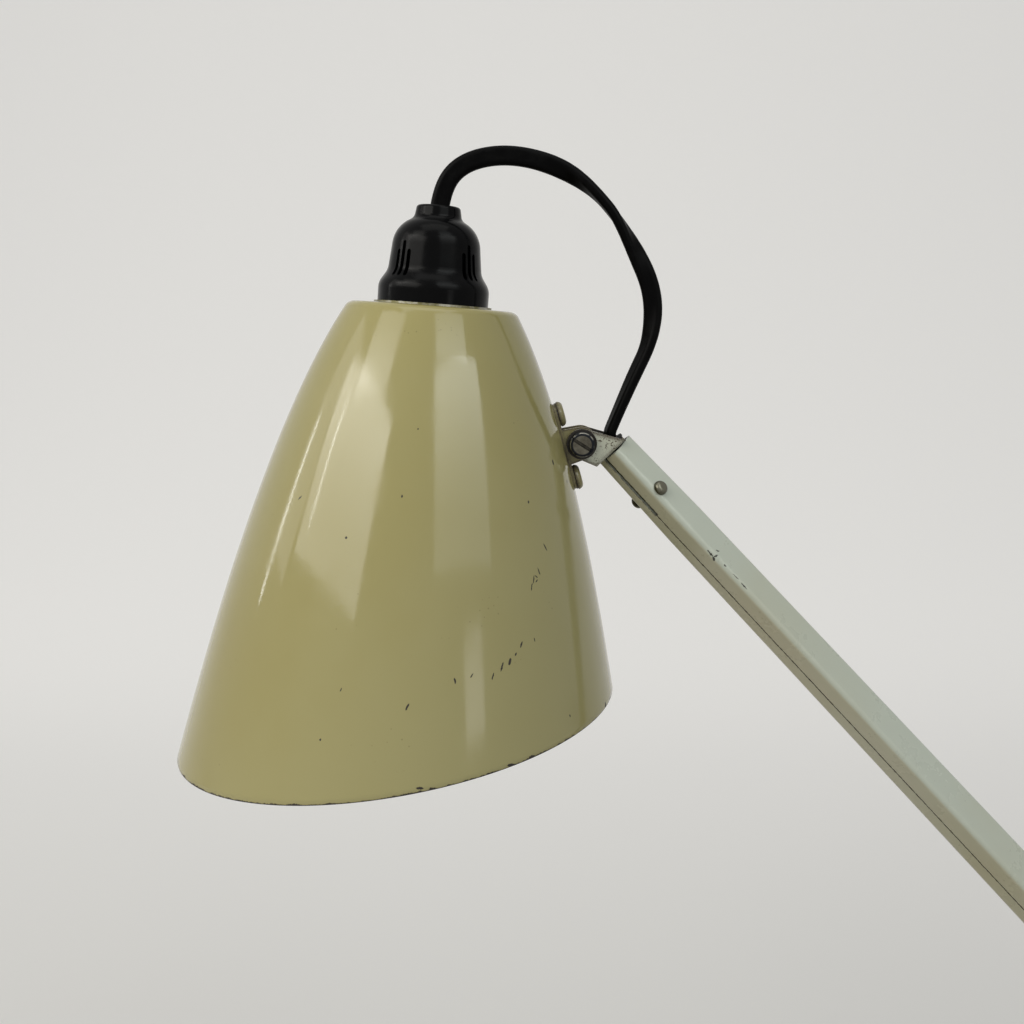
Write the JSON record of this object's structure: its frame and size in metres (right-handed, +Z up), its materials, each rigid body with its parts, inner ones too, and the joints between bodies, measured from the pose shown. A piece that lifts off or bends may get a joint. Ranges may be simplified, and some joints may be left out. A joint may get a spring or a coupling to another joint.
{
  "type": "desk lamp",
  "caption": "Jointed desk lamp: deep parabolic metal shade on a tilting, swivelling knuckle, square folded arms set on edge, and a weighted round base with a push switch.",
  "frame": {"origin": "middle of the felt underside that the base stands on", "axes": "+Z up; the arms lie in the XZ plane, with the elbow towards +X and the shade towards -X"},
  "size_m": [0.4391, 0.19, 0.7309],
  "materials": {
    "cream_lacquer": "aged semi-gloss cream lacquer",
    "white_lacquer": "aged semi-gloss grey-white lacquer",
    "black_bakelite": "polished black bakelite",
    "steel": "plated steel",
    "dark_steel": "blackened steel",
    "aluminium": "bare aluminium",
    "brass": "bare brass",
    "iron": "dull cast iron",
    "felt": "green felt",
    "fibre": "vulcanised fibre",
    "flex": "black flat twin flex",
    "inlet_rubber": "black rubber",
    "porcelain": "white glazed porcelain",
    "bulb_glass": "frosted glass"
  },
  "bodies": {
    "base": {"base_cover": "cream_lacquer", "base_weight": "iron", "base_felt": "felt", "spindle_bush": "steel", "bush_nut": "steel", "lead_inlet_bush": "inlet_rubber", "switch_body": "black_bakelite", "switch_bezel": "aluminium"},
    "switch_button": {"switch_button": "black_bakelite"},
    "fork": {"base_fork": "white_lacquer", "turret_washer": "fibre", "fork_spindle": "steel", "spindle_spring_washer": "steel", "spindle_nut": "steel", "foot_screw": "steel", "foot_washer": "dark_steel", "foot_nut": "steel", "foot_fibre_discs": "fibre"},
    "lower_arm": {"foot_tongue": "white_lacquer", "lower_arm_tube": "white_lacquer", "elbow_clevis": "white_lacquer", "lower_arm_pins": "steel", "elbow_screw": "steel", "elbow_washer": "dark_steel", "elbow_nut": "steel", "elbow_fibre_discs": "fibre"},
    "upper_arm": {"elbow_tongue": "white_lacquer", "upper_arm_tube": "white_lacquer", "upper_arm_pin": "steel", "retaining_pin": "steel"},
    "knuckle": {"head_clevis": "white_lacquer", "swivel_stem": "steel", "tilt_screw": "steel", "tilt_washer": "dark_steel", "tilt_nut": "steel", "tilt_fibre_discs": "fibre", "head_flex": "flex"},
    "head": {"shade": "cream_lacquer", "shade_bracket": "cream_lacquer", "bracket_screws": "cream_lacquer", "bracket_nuts": "steel", "tilt_spacer": "steel", "lampholder_cap": "black_bakelite", "lampholder_washer": "aluminium", "lampholder_sleeve": "black_bakelite", "shade_ring": "black_bakelite", "contact_block": "porcelain", "screw_shell": "brass", "centre_contact": "brass", "bulb_cap": "aluminium", "bulb_glass": "bulb_glass"}
  },
  "joints": [
    {"name": "base_swivel", "type": "hinge", "parent": "base", "child": "fork", "pos_m": [0, 0, 0.03], "axis": [0, 0, 1], "range_deg": [-150, 150]},
    {"name": "switch_press", "type": "slide", "parent": "base", "child": "switch_button", "axis": [0, 0, -1], "range_m": [0, 0.0025], "stiffness_N_per_m": 400, "springref_m": -0.004},
    {"name": "lower_arm_tilt", "type": "hinge", "parent": "fork", "child": "lower_arm", "pos_m": [0, 0, 0.06], "axis": [0, 1, 0], "range_deg": [-35, 25]},
    {"name": "elbow_bend", "type": "hinge", "parent": "lower_arm", "child": "upper_arm", "pos_m": [0.165, 0, 0.34579], "axis": [0, 1, 0], "range_deg": [-30, 60]},
    {"name": "head_swivel", "type": "hinge", "parent": "upper_arm", "child": "knuckle", "pos_m": [-0.09633, 0, 0.62166], "axis": [-0.6877, 0, 0.726], "range_deg": [-60, 60]},
    {"name": "head_tilt", "type": "hinge", "parent": "knuckle", "child": "head", "pos_m": [-0.10906, 0, 0.62434], "axis": [0, 1, 0], "range_deg": [-25, 95], "deforming": ["head_flex"]}
  ]
}
